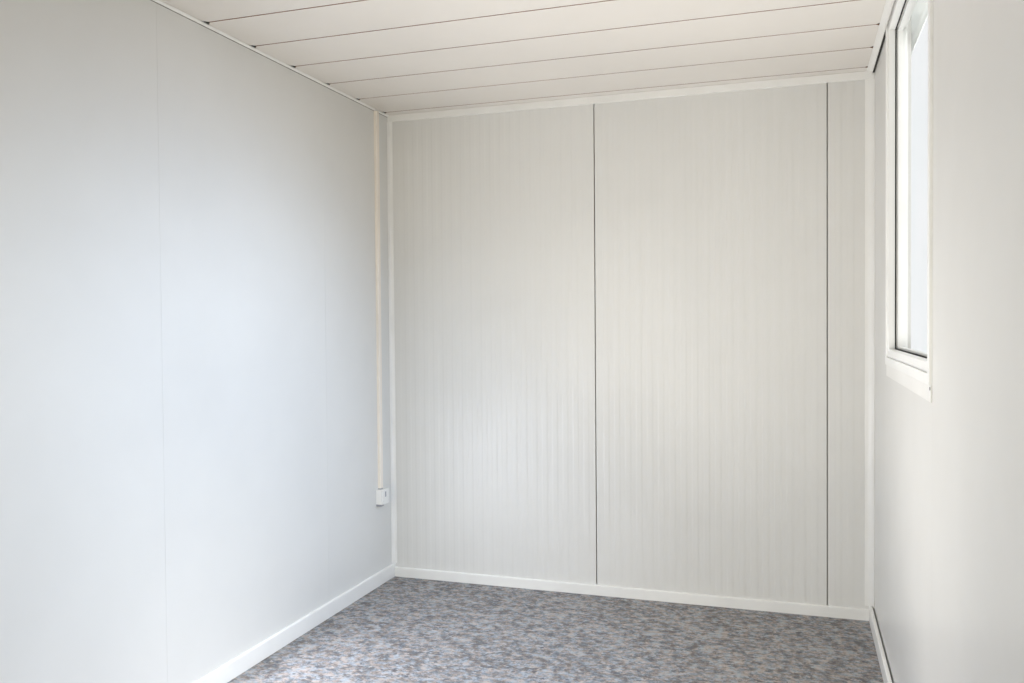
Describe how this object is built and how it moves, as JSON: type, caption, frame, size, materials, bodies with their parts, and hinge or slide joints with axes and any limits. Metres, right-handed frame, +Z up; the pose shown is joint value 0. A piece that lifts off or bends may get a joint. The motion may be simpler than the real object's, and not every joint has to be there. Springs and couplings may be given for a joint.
{
  "type": "portable site cabin",
  "caption": "Portable site cabin: folded steel frame, sandwich panel walls, strip ceiling, vinyl floor, a white window and a closed steel door.",
  "frame": {"origin": "middle of the underside, on the ground, under the centre of the cabin", "axes": "+X to the long wall with the window and door, +Y along the cabin to the plain end wall that the picture faces, +Z up"},
  "size_m": [2.438, 6.058, 2.591],
  "materials": {
    "frame_steel": "satin paint on folded steel",
    "panel_skin": "satin lacquered steel skin",
    "floor_board": "plain cement bonded or ply board",
    "floor_vinyl": "flecked grey vinyl sheet",
    "ceiling_steel": "white lacquered steel strip",
    "galvanised": "galvanised sheet",
    "batten": "sawn softwood",
    "white_pvc": "white plastic trim and frame",
    "black_rubber": "black gasket",
    "window_glass": "clear double glass",
    "door_steel": "satin paint on sheet steel",
    "handle_metal": "brushed aluminium"
  },
  "bodies": {
    "root": {"corner_fittings_bottom": "frame_steel", "corner_fittings_top": "frame_steel", "corner_posts": "frame_steel", "base_side_rails": "frame_steel", "base_end_rails": "frame_steel", "forklift_pockets": "frame_steel", "floor_joists": "galvanised", "floor_deck": "floor_board", "floor_covering": "floor_vinyl", "floor_underside": "galvanised", "left_wall_panels": "panel_skin", "back_wall_panels": "panel_skin", "front_wall_panels": "panel_skin", "right_wall_back_panel": "panel_skin", "right_wall_window_panel": "panel_skin", "right_wall_middle_panels": "panel_skin", "right_wall_over_door_panel": "panel_skin", "right_wall_front_panel": "panel_skin", "roof_side_rails": "frame_steel", "roof_end_rails": "frame_steel", "roof_bows": "galvanised", "roof_sheet": "galvanised", "ceiling_battens": "batten", "ceiling_strips": "ceiling_steel", "window_frame": "white_pvc", "window_sash": "white_pvc", "window_gasket": "black_rubber", "window_glass": "window_glass", "window_apron": "panel_skin", "window_drip": "panel_skin", "door_frame": "door_steel", "door_threshold": "handle_metal", "door_leaf": "door_steel", "door_handles": "handle_metal", "door_hinges": "galvanised", "skirting_left": "white_pvc", "skirting_right": "white_pvc", "skirting_ends": "white_pvc", "corner_trims": "white_pvc", "ceiling_trim_left": "white_pvc", "ceiling_trim_right": "white_pvc", "ceiling_trim_ends": "white_pvc", "cable_trunking": "white_pvc", "socket_box": "white_pvc"}
  },
  "joints": []
}
